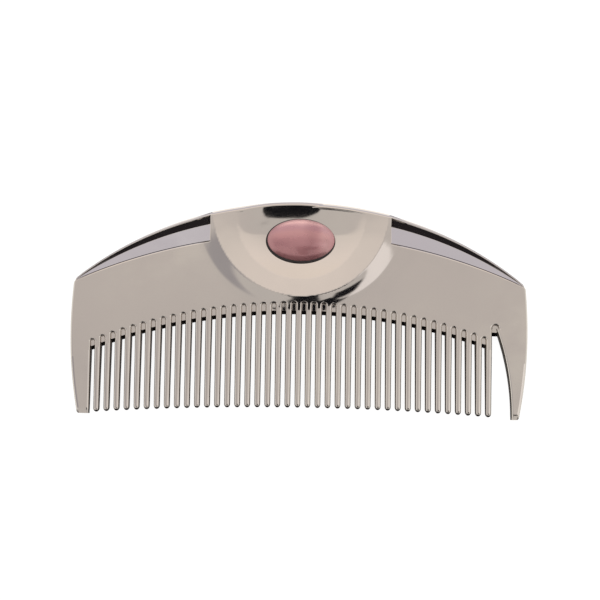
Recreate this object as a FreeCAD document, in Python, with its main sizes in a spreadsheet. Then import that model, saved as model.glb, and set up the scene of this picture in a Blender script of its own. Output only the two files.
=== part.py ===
"""Beard comb: one cast half-moon comb with an oval cabochon bonded into its boss.

The comb lies on its back. X runs along the comb, Y from the tooth tips to the spine, and Z from the
back face to the front. The origin is the centre of the comb's outline, on the back face.
Each object is drawn about the comb's middle plane and lifted by half the plate's thickness.
"""

import FreeCAD
import Part
import math
import os
import Sketcher

SIZES = [
    # alias, value in mm, what it is
    ("plate_width", 120.0, "widest across the bulging ends"),
    ("plate_height", 56.4, "spine apex to guard tips"),
    ("plate_thickness", 3.6, "between the flat back and the blade's front"),
    ("spine_radius", 93.6, "top edge"),
    ("side_radius", 124.0, "each bulging end"),
    ("side_drop", 4.7, "widest point, below the origin"),
    ("corner_rounding", 1.0, "spine to end"),
    ("root_radius", 150.0, "arc through the roots of the teeth"),
    ("root_drop", 1.3, "top of the root arc, below the origin"),
    ("arch_radius", 144.0, "arc through the tops of the arched recesses"),
    ("arch_rise", 2.1, "top of the arch arc, above the origin"),
    ("tip_radius", 742.0, "arc through the tooth tips"),
    ("tip_drop", 25.9, "top of the tip arc, below the origin"),
    ("tooth_count", 40, "teeth"),
    ("tooth_pitch", 2.633, "centre to centre"),
    ("first_tooth", 52.8, "centre of the first tooth, left of the origin"),
    ("root_width", 1.7, "tooth at its root"),
    ("tip_width", 1.5, "tooth at its tip"),
    ("tip_thickness", 2.2, "tooth and guard at the tip"),
    ("shoulder", 0.55, "bevel from a tooth's crest to its flank"),
    ("tip_rounding", 0.7, "tooth tip, seen from the front"),
    ("web_thickness", 1.2, "web left between the arches of front and back"),
    ("edge_bevel", 0.4, "outer edges of the plate and the guards"),
    ("beak_radius", 66.0, "inner edge of the right guard"),
    ("beak_centre_left", 10.25, "centre of that arc, left of the origin"),
    ("beak_centre_drop", 27.0, "centre of that arc, below the origin"),
    ("notch_top", 6.3, "top of the wide gap, below the origin"),
    ("notch_arch_top", 3.0, "top of its arched recess, below the origin"),
    ("notch_arch_width", 2.6, "arched recess over the wide gap"),
    ("flare_radius", 27.4, "foot of the boss's skirt"),
    ("flare_rise", 28.2, "centre of the foot, above the origin"),
    ("boss_radius", 23.5, "outer edge of the boss"),
    ("boss_rise", 26.7, "centre of that edge, above the origin"),
    ("boss_edge_height", 1.0, "outer edge above the blade"),
    ("bowl_radius", 17.0, "edge of the bowl"),
    ("bowl_rise", 24.9, "centre of the bowl, above the origin"),
    ("bowl_crest_height", 0.6, "edge of the bowl above the blade, where the ring has fallen inwards"),
    ("bowl_depth", 0.95, "edge of the bowl to its deepest point"),
    ("flute_radius", 140.4, "lower edge of the crescent flutes"),
    ("flute_rise", 19.6, "top of that arc, above the origin"),
    ("flute_inner_end", 23.8, "inner end of a flute, from the middle"),
    ("flute_depth", 1.4, "floor of a flute under the blade's front"),
    ("rim_width", 0.8, "lip left along the spine"),
    ("cabochon_length", 18.4, "oval along X"),
    ("cabochon_width", 12.0, "oval along Y"),
    ("cabochon_height", 2.6, "flat base to the top of the dome"),
    ("cabochon_rise", 17.9, "centre of the oval, above the origin"),
    ("seat_depth", 0.45, "floor of the oval seat under the blade's front"),
    ("seat_clearance", 0.1, "gap round the oval"),
    ("adhesive_thickness", 0.12, "bond line under the oval"),
]

document = FreeCAD.newDocument("beard_comb")
sheet = document.addObject("Spreadsheet::Sheet", "Sizes")
for row, (alias, value, meaning) in enumerate(SIZES, start=1):
    sheet.set(f"A{row}", str(value))
    sheet.setAlias(f"A{row}", alias)
    sheet.set(f"B{row}", meaning)
document.recompute()

HALF_THICKNESS = "Sizes.plate_thickness / 2"
SPINE_CENTRE = "Sizes.plate_height / 2 - Sizes.spine_radius"
SIDE_CENTRE = "Sizes.side_radius - Sizes.plate_width / 2"
ROOT_CENTRE = "-Sizes.root_drop - Sizes.root_radius"
FIRST_FLANK = "-Sizes.first_tooth - Sizes.tooth_pitch + Sizes.root_width / 2"
LAST_FLANK = (
    "-Sizes.first_tooth + (Sizes.tooth_count - 1) * Sizes.tooth_pitch + Sizes.root_width / 2"
)
OVERSHOOT = 5.0  # how far cutting outlines and solids run past what they cut
NEAR = 0.01  # two places closer than this are the same
ROOT_OVERLAP = 1.0  # how far a tooth's blank runs into the plate before it is trimmed
BEVEL_TAPER = -45.0  # degrees; a pocket with this taper narrows as it goes deeper
FULL_TURN = 360.0  # degrees
# Where an arc starts and ends in a sketch before its ends are joined, in degrees from +X
SPANS = {
    "plate_spine": (51, 129),
    "plate_left": (175, 184),
    "plate_root": (66, 114),
    "plate_right": (-4, 5),
    "left_guard_outer": (184, 191),
    "left_guard_root": (111, 113.5),
    "right_guard_outer": (-11, -4),
    "right_guard_root": (66.5, 69),
    "right_guard_beak": (-1, 14),
    "flute_low": (65, 80),
    "flute_high": (51, 75),
}


def size(formula):
    """The value of a formula of sheet aliases, in mm."""
    return float(sheet.evalExpression(formula.replace("Sizes.", "")))


def sub_part(kind, label):
    """A new object of the document, lifted so that the middle plane is at half the thickness."""
    made = document.addObject(kind, label)
    made.Label = label
    made.Placement.Base = FreeCAD.Vector(0, 0, size(HALF_THICKNESS))
    return made


def new_sketch(body, name, plane="XY_Plane", offset=(0, 0, 0)):
    """An empty sketch on one of the body's own origin planes, shifted by offset in the plane's axes."""
    sketch = body.newObject("Sketcher::SketchObject", name)
    support = next(feature for feature in body.Origin.OriginFeatures if feature.Role == plane)
    sketch.AttachmentSupport = [(support, "")]
    sketch.MapMode = "FlatFace"
    sketch.AttachmentOffset = FreeCAD.Placement(FreeCAD.Vector(*offset), FreeCAD.Rotation())
    return sketch


def bind(sketch, kind, where, name, formula):
    """Adds a dimension to the sketch that follows a formula of sheet aliases."""
    index = sketch.addConstraint(Sketcher.Constraint(kind, *where, size(formula)))
    sketch.renameConstraint(index, name)
    sketch.setExpression(f"Constraints.{name}", formula)


def add_arc(sketch, name, radius, centre_x, centre_y, span):
    """An arc between the two angles of a span in degrees, whose radius and centre follow the sheet."""
    centre = FreeCAD.Vector(size(centre_x), size(centre_y), 0)
    circle = Part.Circle(centre, FreeCAD.Vector(0, 0, 1), size(radius))
    start, end = (math.radians(angle) for angle in span)
    index = sketch.addGeometry(Part.ArcOfCircle(circle, start, end))
    bind(sketch, "Radius", (index,), f"{name}_radius", radius)
    bind(sketch, "DistanceX", (index, 3), f"{name}_x", centre_x)
    bind(sketch, "DistanceY", (index, 3), f"{name}_y", centre_y)
    return index


def add_circle(sketch, name, radius, centre_y):
    """A circle on the comb's centre line, whose radius and height follow the sheet."""
    centre = FreeCAD.Vector(0, size(centre_y), 0)
    index = sketch.addGeometry(Part.Circle(centre, FreeCAD.Vector(0, 0, 1), size(radius)))
    bind(sketch, "Radius", (index,), f"{name}_radius", radius)
    bind(sketch, "DistanceY", (index, 3), f"{name}_y", centre_y)
    sketch.addConstraint(Sketcher.Constraint("PointOnObject", index, 3, -2))


def add_line(sketch, start, end):
    """A straight edge between two points."""
    segment = Part.LineSegment(FreeCAD.Vector(*start, 0), FreeCAD.Vector(*end, 0))
    return sketch.addGeometry(segment)


def join(sketch, *ends):
    """Makes each pair of (edge, end) points the same point."""
    for (first, first_end), (second, second_end) in ends:
        sketch.addConstraint(Sketcher.Constraint("Coincident", first, first_end, second, second_end))


def arc_height(x, radius, apex):
    """The height at x of an arc that bulges towards the spine, about the comb's centre line."""
    return apex - radius + math.sqrt(radius**2 - x**2)


def edge_numbers(shape, wanted):
    """The numbers of a shape's edges whose middle point passes the test."""
    return [
        number
        for number, edge in enumerate(shape.Edges, start=1)
        if wanted(edge.valueAt((edge.FirstParameter + edge.LastParameter) / 2))
    ]


def make_plate(body):
    """The flat plate between the spine and the arc of the tooth roots, with rounded corners."""
    sketch = new_sketch(body, "plate_outline")
    right_centre = f"-({SIDE_CENTRE})"
    drop = "-Sizes.side_drop"
    spine = add_arc(sketch, "spine", "Sizes.spine_radius", "0", SPINE_CENTRE, SPANS["plate_spine"])
    left = add_arc(sketch, "left", "Sizes.side_radius", SIDE_CENTRE, drop, SPANS["plate_left"])
    root = add_arc(sketch, "root", "Sizes.root_radius", "0", ROOT_CENTRE, SPANS["plate_root"])
    right = add_arc(sketch, "right", "Sizes.side_radius", right_centre, drop, SPANS["plate_right"])
    join(
        sketch,
        ((spine, 2), (left, 1)),
        ((left, 2), (root, 2)),
        ((root, 1), (right, 1)),
        ((right, 2), (spine, 1)),
    )
    pad = body.newObject("PartDesign::Pad", "plate")
    pad.Profile = sketch
    pad.SideType = "Symmetric"
    pad.setExpression("Length", "Sizes.plate_thickness")
    document.recompute()
    corners = edge_numbers(pad.Shape, lambda middle: abs(middle.z) < NEAR and middle.y > 0)
    rounded = body.newObject("PartDesign::Fillet", "rounded_corners")
    rounded.Base = (pad, [f"Edge{number}" for number in corners])
    rounded.setExpression("Radius", "Sizes.corner_rounding")
    bevel_outline(body, rounded)


def bevel_outline(body, base):
    """Bevels the front and back edges of a flat piece, all but those along the root arc."""
    document.recompute()
    edge_plane = size("Sizes.tip_thickness / 2") - NEAR
    root_centre = FreeCAD.Vector(0, size(ROOT_CENTRE), 0)
    root_radius = size("Sizes.root_radius")
    outline = edge_numbers(
        base.Shape,
        lambda middle: abs(middle.z) > edge_plane
        and abs(math.hypot(middle.x, middle.y - root_centre.y) - root_radius) > NEAR,
    )
    bevel = body.newObject("PartDesign::Chamfer", f"{base.Name}_bevel")
    bevel.Base = (base, [f"Edge{number}" for number in outline])
    bevel.setExpression("Size", "Sizes.edge_bevel")


def add_boss(body):
    """The boss as a loft of three rings: foot of the skirt, outer edge, and edge of the bowl."""
    rings = [
        ("flare", "Sizes.flare_radius", "Sizes.flare_rise", "0"),
        ("rim", "Sizes.boss_radius", "Sizes.boss_rise", "Sizes.boss_edge_height"),
        ("bowl", "Sizes.bowl_radius", "Sizes.bowl_rise", "Sizes.bowl_crest_height"),
    ]
    sketches = []
    for name, radius, rise, height in rings:
        sketch = new_sketch(body, f"boss_{name}")
        sketch.setExpression("AttachmentOffset.Base.z", f"{HALF_THICKNESS} + {height}")
        add_circle(sketch, name, radius, rise)
        sketches.append(sketch)
    loft = body.newObject("PartDesign::AdditiveLoft", "boss")
    loft.Profile = sketches[0]
    loft.Sections = sketches[1:]
    loft.Ruled = True


def cut_bowl(body):
    """Turns the dish of the bowl out of the boss, about an axis square to the plate."""
    sketch = new_sketch(body, "bowl_section", "XZ_Plane")
    sketch.setExpression("AttachmentOffset.Base.z", "-Sizes.bowl_rise")
    crest_radius = size("Sizes.bowl_radius")
    crest = size(f"{HALF_THICKNESS} + Sizes.bowl_crest_height")
    depth = size("Sizes.bowl_depth")
    dish_radius = (crest_radius**2 + depth**2) / (2 * depth)
    half_angle = math.asin(crest_radius / dish_radius)
    dish_centre = FreeCAD.Vector(0, crest - depth + dish_radius, 0)
    circle = Part.Circle(dish_centre, FreeCAD.Vector(0, 0, 1), dish_radius)
    dish = sketch.addGeometry(Part.ArcOfCircle(circle, -math.pi / 2, half_angle - math.pi / 2))
    wall = add_line(sketch, (crest_radius, crest), (crest_radius, crest + OVERSHOOT))
    top = add_line(sketch, (crest_radius, crest + OVERSHOOT), (0, crest + OVERSHOOT))
    axis = add_line(sketch, (0, crest + OVERSHOOT), (0, crest - depth))
    join(
        sketch,
        ((dish, 2), (wall, 1)),
        ((wall, 2), (top, 1)),
        ((top, 2), (axis, 1)),
        ((axis, 2), (dish, 1)),
    )
    sketch.addConstraint(Sketcher.Constraint("Vertical", wall))
    sketch.addConstraint(Sketcher.Constraint("Vertical", axis))
    sketch.addConstraint(Sketcher.Constraint("Horizontal", top))
    sketch.addConstraint(Sketcher.Constraint("PointOnObject", axis, 1, -2))
    sketch.addConstraint(Sketcher.Constraint("PointOnObject", dish, 3, -2))
    bind(sketch, "DistanceX", (wall, 1), "crest_radius", "Sizes.bowl_radius")
    bind(sketch, "DistanceY", (wall, 1), "crest_height", f"{HALF_THICKNESS} + Sizes.bowl_crest_height")
    bind(sketch, "DistanceY", (dish, 1, wall, 1), "dish_depth", "Sizes.bowl_depth")
    groove = body.newObject("PartDesign::Groove", "bowl")
    groove.Profile = sketch
    groove.ReferenceAxis = (sketch, ["V_Axis"])
    groove.Angle = FULL_TURN


def trim_at_spine(body):
    """Cuts the round boss off along the spine."""
    sketch = new_sketch(body, "beyond_spine")
    half_width = size("Sizes.flare_radius") + OVERSHOOT
    apex = size("Sizes.plate_height / 2")
    foot = arc_height(half_width, size("Sizes.spine_radius"), apex)
    far = size("Sizes.flare_rise + Sizes.flare_radius") + OVERSHOOT
    angle = math.degrees(math.acos(half_width / size("Sizes.spine_radius")))
    arc = add_arc(sketch, "spine", "Sizes.spine_radius", "0", SPINE_CENTRE, (angle, 180 - angle))
    left = add_line(sketch, (-half_width, foot), (-half_width, far))
    top = add_line(sketch, (-half_width, far), (half_width, far))
    right = add_line(sketch, (half_width, far), (half_width, foot))
    join(
        sketch,
        ((arc, 2), (left, 1)),
        ((left, 2), (top, 1)),
        ((top, 2), (right, 1)),
        ((right, 2), (arc, 1)),
    )
    cut_through(body, sketch, "spine_trim")


def cut_through(body, sketch, name):
    """A pocket through everything on both sides of the sketch's plane."""
    pocket = body.newObject("PartDesign::Pocket", name)
    pocket.Profile = sketch
    pocket.SideType = "Symmetric"
    pocket.setExpression("Length", "Sizes.plate_width * 2")
    return pocket


def cut_flutes(body):
    """A crescent recess beside the boss, and its mirror image on the other side."""
    sketch = new_sketch(body, "flute_outline")
    sketch.setExpression("AttachmentOffset.Base.z", HALF_THICKNESS)
    inner = size("Sizes.flute_inner_end")
    low_apex = size("Sizes.flute_rise")
    low_radius = size("Sizes.flute_radius")
    high_apex = size("Sizes.plate_height / 2 - Sizes.rim_width")
    high_radius = size("Sizes.spine_radius - Sizes.rim_width")
    low_start = arc_height(inner, low_radius, low_apex)
    high_start = arc_height(inner, high_radius, high_apex)
    low_centre = "Sizes.flute_rise - Sizes.flute_radius"
    high_arc = "Sizes.spine_radius - Sizes.rim_width"
    low = add_arc(sketch, "low", "Sizes.flute_radius", "0", low_centre, SPANS["flute_low"])
    high = add_arc(sketch, "high", high_arc, "0", SPINE_CENTRE, SPANS["flute_high"])
    end = add_line(sketch, (inner, low_start), (inner, high_start))
    join(sketch, ((low, 1), (high, 1)), ((low, 2), (end, 1)), ((end, 2), (high, 2)))
    sketch.addConstraint(Sketcher.Constraint("Vertical", end))
    bind(sketch, "DistanceX", (end, 1), "inner_end", "Sizes.flute_inner_end")
    pocket = body.newObject("PartDesign::Pocket", "right_flute")
    pocket.Profile = sketch
    pocket.setExpression("Length", "Sizes.flute_depth")
    mirrored = body.newObject("PartDesign::Mirrored", "left_flute")
    mirrored.Originals = [pocket]
    plane = next(feature for feature in body.Origin.OriginFeatures if feature.Role == "YZ_Plane")
    mirrored.MirrorPlane = (plane, [""])
    body.Tip = mirrored


def gap_centres():
    """The middle of each ordinary gap, from the left guard to the last tooth."""
    first = -size("Sizes.first_tooth") - size("Sizes.tooth_pitch") / 2
    pitch = size("Sizes.tooth_pitch")
    return [first + number * pitch for number in range(round(size("Sizes.tooth_count")))]


def arched_outlines(sketch, inset):
    """The inverted U over every gap, drawn inset from the arch's outer edge."""
    half_gap = size("(Sizes.tooth_pitch - Sizes.root_width) / 2 + Sizes.shoulder") - inset
    arches = [
        (x, half_gap, arc_height(x, size("Sizes.arch_radius"), size("Sizes.arch_rise")) - inset)
        for x in gap_centres()
    ]
    notch_half = size("Sizes.notch_arch_width / 2")
    notch_left = size(LAST_FLANK) - size("Sizes.shoulder")
    arches.append((notch_left + notch_half, notch_half - inset, -size("Sizes.notch_arch_top") - inset))
    edges = []
    joints = []
    for x, half_width, top in arches:
        foot = arc_height(x, size("Sizes.root_radius"), -size("Sizes.root_drop")) - OVERSHOOT
        spring = top - half_width
        corners = [
            FreeCAD.Vector(x - half_width, spring, 0),
            FreeCAD.Vector(x - half_width, foot, 0),
            FreeCAD.Vector(x + half_width, foot, 0),
            FreeCAD.Vector(x + half_width, spring, 0),
        ]
        circle = Part.Circle(FreeCAD.Vector(x, spring, 0), FreeCAD.Vector(0, 0, 1), half_width)
        first = len(edges)
        edges.append(Part.ArcOfCircle(circle, 0, math.pi))
        edges += [Part.LineSegment(*pair) for pair in zip(corners, corners[1:])]
        loop = [(first, 2), (first + 1, 1), (first + 1, 2), (first + 2, 1)]
        loop += [(first + 2, 2), (first + 3, 1), (first + 3, 2), (first, 1)]
        joints += [
            Sketcher.Constraint("Coincident", *loop[end], *loop[end + 1]) for end in range(0, len(loop), 2)
        ]
    sketch.addGeometry(edges)
    sketch.addConstraint(joints)


def cut_arches(body):
    """The arched recesses over the gaps, bevelled like the teeth, on the front and on the back."""
    bevelled = new_sketch(body, "arch_bevels")
    bevelled.setExpression("AttachmentOffset.Base.z", HALF_THICKNESS)
    arched_outlines(bevelled, 0)
    bevel = body.newObject("PartDesign::Pocket", "arch_bevel")
    bevel.Profile = bevelled
    bevel.setExpression("Length", "Sizes.shoulder")
    bevel.TaperAngle = BEVEL_TAPER
    bevel.Refine = False
    straight = new_sketch(body, "arch_walls")
    straight.setExpression("AttachmentOffset.Base.z", HALF_THICKNESS)
    arched_outlines(straight, size("Sizes.shoulder"))
    wall = body.newObject("PartDesign::Pocket", "arch_wall")
    wall.Profile = straight
    wall.setExpression("Length", "(Sizes.plate_thickness - Sizes.web_thickness) / 2")
    wall.Refine = False
    mirrored = body.newObject("PartDesign::Mirrored", "back_arches")
    mirrored.Originals = [bevel, wall]
    mirrored.Refine = False
    plane = next(feature for feature in body.Origin.OriginFeatures if feature.Role == "XY_Plane")
    mirrored.MirrorPlane = (plane, [""])
    body.Tip = mirrored


def cut_notch(body):
    """Carries the wide gap up into the plate, between the last tooth's flank and the beak's curve."""
    sketch = new_sketch(body, "notch_outline")
    top = -size("Sizes.notch_top")
    flank = size(LAST_FLANK)
    beak_x = -size("Sizes.beak_centre_left")
    beak_y = -size("Sizes.beak_centre_drop")
    radius = size("Sizes.beak_radius")
    upper_angle = math.degrees(math.asin((top - beak_y) / radius))
    foot = arc_height(flank, size("Sizes.root_radius"), -size("Sizes.root_drop")) - OVERSHOOT
    lower_angle = math.degrees(math.asin((foot - beak_y) / radius))
    left = "-Sizes.beak_centre_left"
    down = "-Sizes.beak_centre_drop"
    beak = add_arc(sketch, "beak", "Sizes.beak_radius", left, down, (lower_angle, upper_angle))
    upper_x = beak_x + radius * math.cos(math.radians(upper_angle))
    lower_x = beak_x + radius * math.cos(math.radians(lower_angle))
    roof = add_line(sketch, (upper_x, top), (flank, top))
    side = add_line(sketch, (flank, top), (flank, foot))
    base = add_line(sketch, (flank, foot), (lower_x, foot))
    join(
        sketch,
        ((beak, 2), (roof, 1)),
        ((roof, 2), (side, 1)),
        ((side, 2), (base, 1)),
        ((base, 2), (beak, 1)),
    )
    cut_through(body, sketch, "wide_gap")


def make_comb_back():
    """The plate with its boss, flutes and arches, and the oval seat sunk into the bowl."""
    body = document.addObject("PartDesign::Body", "back_casting")
    make_plate(body)
    add_boss(body)
    cut_bowl(body)
    trim_at_spine(body)
    cut_flutes(body)
    cut_notch(body)
    cut_arches(body)
    seat = make_oval("cabochon_seat", "Sizes.seat_clearance", f"{OVERSHOOT}")
    back = sub_part("Part::Cut", "comb_back")
    back.Base = body
    back.Tool = seat
    return back


def make_oval(name, margin, thickness):
    """An oval disc standing on the seat's floor, larger than the cabochon by margin."""
    outline = document.addObject("Part::Ellipse", f"{name}_outline")
    outline.setExpression("MajorRadius", f"Sizes.cabochon_length / 2 + {margin}")
    outline.setExpression("MinorRadius", f"Sizes.cabochon_width / 2 + {margin}")
    outline.setExpression("Placement.Base.y", "Sizes.cabochon_rise")
    outline.setExpression("Placement.Base.z", f"{HALF_THICKNESS} - Sizes.seat_depth")
    disc = document.addObject("Part::Extrusion", name)
    disc.Base = outline
    disc.DirMode = "Custom"
    disc.Dir = FreeCAD.Vector(0, 0, 1)
    disc.Solid = True
    disc.setExpression("LengthFwd", thickness)
    return disc


def make_adhesive():
    """The bond line that fills the seat under the cabochon."""
    disc = make_oval("cabochon_adhesive", "0", "Sizes.adhesive_thickness")
    disc.Placement.Base = FreeCAD.Vector(0, 0, size(HALF_THICKNESS))
    return disc


def make_cabochon():
    """The oval dome, flat underneath, standing on the bond line."""
    dome = sub_part("Part::Ellipsoid", "cabochon")
    dome.setExpression("Radius1", "Sizes.cabochon_height")
    dome.setExpression("Radius2", "Sizes.cabochon_length / 2")
    dome.setExpression("Radius3", "Sizes.cabochon_width / 2")
    dome.Angle1 = 0
    dome.setExpression("Placement.Base.y", "Sizes.cabochon_rise")
    dome.setExpression(
        "Placement.Base.z",
        "Sizes.plate_thickness - Sizes.seat_depth + Sizes.adhesive_thickness",
    )
    return dome


def make_root_cylinder():
    """The round boundary between the plate, outside it, and the teeth and guards, inside it."""
    cylinder = document.addObject("Part::Cylinder", "root_cylinder")
    cylinder.setExpression("Radius", "Sizes.root_radius")
    cylinder.setExpression("Height", "Sizes.plate_thickness * 2")
    cylinder.setExpression("Placement.Base.y", ROOT_CENTRE)
    cylinder.setExpression("Placement.Base.z", "-Sizes.plate_thickness")
    return cylinder


def make_tooth(number, root_cylinder):
    """One tooth: a tapered bar with a rounded tip and bevelled crest, trimmed along the root arc."""
    label = f"tooth_{number + 1:02d}"
    place = f"-Sizes.first_tooth + {number} * Sizes.tooth_pitch"
    x = size(place)
    root = arc_height(x, size("Sizes.root_radius"), -size("Sizes.root_drop"))
    tip = arc_height(x, size("Sizes.tip_radius"), -size("Sizes.tip_drop"))
    blank = document.addObject("Part::Wedge", f"{label}_blank")
    widths = {"X": "Sizes.tip_width", "Z": "Sizes.tip_thickness"}
    widths |= {"X2": "Sizes.root_width", "Z2": "Sizes.plate_thickness"}
    blank.Ymin = tip
    blank.Ymax = root + ROOT_OVERLAP
    for axis, width in widths.items():
        blank.setExpression(f"{axis}min", f"-{width} / 2")
        blank.setExpression(f"{axis}max", f"{width} / 2")
    blank.setExpression("Placement.Base.x", place)
    document.recompute()
    near_tip = tip + NEAR
    rounded = document.addObject("Part::Fillet", f"{label}_rounded")
    rounded.Base = blank
    corners = edge_numbers(blank.Shape, lambda at: at.y < near_tip and abs(at.z) < NEAR)
    rounding = size("Sizes.tip_rounding")
    rounded.Edges = [(corner, rounding, rounding) for corner in corners]
    document.recompute()
    crest = document.addObject("Part::Chamfer", f"{label}_bevelled")
    crest.Base = rounded
    face = size("Sizes.tip_thickness / 2") - NEAR
    end = root + ROOT_OVERLAP - NEAR
    outline = edge_numbers(rounded.Shape, lambda at: abs(at.z) > face and at.y < end)
    bevel = size("Sizes.shoulder")
    crest.Edges = [(edge, bevel, bevel) for edge in outline]
    tooth = sub_part("Part::Common", label)
    tooth.Base = crest
    tooth.Tool = root_cylinder
    return tooth


def taper_guard(body):
    """Thins a guard evenly on both faces, from the root arc to its tip."""
    sketch = new_sketch(body, "taper_section", "YZ_Plane")
    half_width = size("Sizes.plate_width / 2")
    start = arc_height(half_width, size("Sizes.root_radius"), -size("Sizes.root_drop"))
    tip = -size("Sizes.plate_height / 2")
    thick = size(HALF_THICKNESS)
    thin = size("Sizes.tip_thickness / 2")
    corners = [(start, thick), (tip, thin), (tip, thick + OVERSHOOT), (start, thick + OVERSHOOT)]
    edges = [add_line(sketch, *pair) for pair in zip(corners, corners[1:] + corners[:1])]
    following = edges[1:] + edges[:1]
    join(sketch, *(((edge, 2), (after, 1)) for edge, after in zip(edges, following)))
    cut_through(body, sketch, "front_taper")
    front = body.Tip
    back = body.newObject("PartDesign::Mirrored", "back_taper")
    back.Originals = [front]
    plane = next(feature for feature in body.Origin.OriginFeatures if feature.Role == "XY_Plane")
    back.MirrorPlane = (plane, [""])
    body.Tip = back
    return back


def pad_guard(body, sketch):
    """Turns a guard's outline into metal, thinner towards its tip and bevelled like the plate."""
    pad = body.newObject("PartDesign::Pad", "guard")
    pad.Profile = sketch
    pad.SideType = "Symmetric"
    pad.setExpression("Length", "Sizes.plate_thickness")
    bevel_outline(body, taper_guard(body))
    return body


def side_reach(y):
    """How far the arc of a bulging end reaches from its own centre at a height."""
    return math.sqrt(size("Sizes.side_radius") ** 2 - (y + size("Sizes.side_drop")) ** 2)


def make_left_guard():
    """The end guard with a straight inner edge, one ordinary gap away from the first tooth."""
    body = sub_part("PartDesign::Body", "guard_left")
    sketch = new_sketch(body, "guard_outline")
    tip = -size("Sizes.plate_height / 2")
    flank = size(FIRST_FLANK)
    root = arc_height(flank, size("Sizes.root_radius"), -size("Sizes.root_drop"))
    tip_x = size(SIDE_CENTRE) - side_reach(tip)
    drop = "-Sizes.side_drop"
    outer = add_arc(sketch, "outer", "Sizes.side_radius", SIDE_CENTRE, drop, SPANS["left_guard_outer"])
    top = add_arc(sketch, "root", "Sizes.root_radius", "0", ROOT_CENTRE, SPANS["left_guard_root"])
    end = add_line(sketch, (tip_x, tip), (flank, tip))
    inner = add_line(sketch, (flank, tip), (flank, root))
    join(
        sketch,
        ((outer, 2), (end, 1)),
        ((end, 2), (inner, 1)),
        ((inner, 2), (top, 1)),
        ((top, 2), (outer, 1)),
    )
    sketch.addConstraint(Sketcher.Constraint("Horizontal", end))
    sketch.addConstraint(Sketcher.Constraint("Vertical", inner))
    bind(sketch, "DistanceX", (inner, 1), "flank", FIRST_FLANK)
    bind(sketch, "DistanceY", (end, 1), "tip", "-Sizes.plate_height / 2")
    return pad_guard(body, sketch)


def make_right_guard():
    """The beaked end guard, whose inner edge curves away from the last tooth."""
    body = sub_part("PartDesign::Body", "guard_right")
    sketch = new_sketch(body, "guard_outline")
    tip = -size("Sizes.plate_height / 2")
    tip_x = side_reach(tip) - size(SIDE_CENTRE)
    inner_tip_x = size("Sizes.beak_radius - Sizes.beak_centre_left")
    side_centre = f"-({SIDE_CENTRE})"
    drop = "-Sizes.side_drop"
    left = "-Sizes.beak_centre_left"
    down = "-Sizes.beak_centre_drop"
    outer = add_arc(sketch, "outer", "Sizes.side_radius", side_centre, drop, SPANS["right_guard_outer"])
    top = add_arc(sketch, "root", "Sizes.root_radius", "0", ROOT_CENTRE, SPANS["right_guard_root"])
    inner = add_arc(sketch, "beak", "Sizes.beak_radius", left, down, SPANS["right_guard_beak"])
    end = add_line(sketch, (inner_tip_x, tip), (tip_x, tip))
    join(
        sketch,
        ((outer, 2), (top, 1)),
        ((top, 2), (inner, 2)),
        ((inner, 1), (end, 1)),
        ((end, 2), (outer, 1)),
    )
    sketch.addConstraint(Sketcher.Constraint("Horizontal", end))
    bind(sketch, "DistanceY", (end, 1), "tip", "-Sizes.plate_height / 2")
    return pad_guard(body, sketch)


def check(sub_parts):
    """Stops the macro if any object failed or any sub-part isn't one sound solid."""
    failed = [thing.Name for thing in document.Objects if {"Invalid", "Error"} & set(thing.State)]
    if failed:
        raise RuntimeError(f"these objects failed: {failed}")
    for part in sub_parts:
        if part.Shape.isNull() or not part.Shape.isValid() or len(part.Shape.Solids) != 1:
            raise RuntimeError(f"{part.Label} is not one sound solid")


def write(sub_parts):
    """One STEP file for each sub-part, named by its label."""
    os.makedirs("parts", exist_ok=True)
    for part in sub_parts:
        part.Shape.exportStep(f"parts/{part.Label}.step")
        print(f"{part.Label}: {part.Shape.Volume:.1f} mm3")


comb_parts = [make_comb_back(), make_left_guard(), make_right_guard()]
comb_parts += [make_adhesive(), make_cabochon()]
root_cylinder = make_root_cylinder()
comb_parts += [make_tooth(number, root_cylinder) for number in range(round(size("Sizes.tooth_count")))]
document.recompute()
check(comb_parts)
write(comb_parts)
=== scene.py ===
"""Beard comb: a polished half-moon comb with a rose cabochon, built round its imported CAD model."""

import math

import bpy
import numpy as np
from mathutils import Matrix, Vector


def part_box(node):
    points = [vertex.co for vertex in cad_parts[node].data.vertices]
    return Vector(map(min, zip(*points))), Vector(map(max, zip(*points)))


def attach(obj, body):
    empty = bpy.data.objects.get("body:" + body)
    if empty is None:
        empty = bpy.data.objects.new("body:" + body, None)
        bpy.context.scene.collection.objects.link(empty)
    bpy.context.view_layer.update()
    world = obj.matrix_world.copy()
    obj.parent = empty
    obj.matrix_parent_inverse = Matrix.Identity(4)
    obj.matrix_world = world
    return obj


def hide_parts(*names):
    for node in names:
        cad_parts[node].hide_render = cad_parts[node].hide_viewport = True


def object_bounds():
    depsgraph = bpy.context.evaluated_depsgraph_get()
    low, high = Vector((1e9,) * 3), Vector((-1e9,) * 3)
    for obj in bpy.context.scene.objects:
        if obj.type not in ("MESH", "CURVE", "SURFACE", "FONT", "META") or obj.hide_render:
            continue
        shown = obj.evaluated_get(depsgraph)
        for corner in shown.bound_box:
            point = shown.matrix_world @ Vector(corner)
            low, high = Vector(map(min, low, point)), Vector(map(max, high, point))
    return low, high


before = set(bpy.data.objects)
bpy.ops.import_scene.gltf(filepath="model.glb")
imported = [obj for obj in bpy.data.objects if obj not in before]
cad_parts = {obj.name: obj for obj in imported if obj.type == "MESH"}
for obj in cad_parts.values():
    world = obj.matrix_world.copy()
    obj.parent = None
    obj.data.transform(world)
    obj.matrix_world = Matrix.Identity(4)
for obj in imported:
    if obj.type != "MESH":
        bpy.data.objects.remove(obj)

CAD_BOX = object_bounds()
MM = 0.001  # shapes are worked out in millimetres, and turned into metres when a mesh is made

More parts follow.
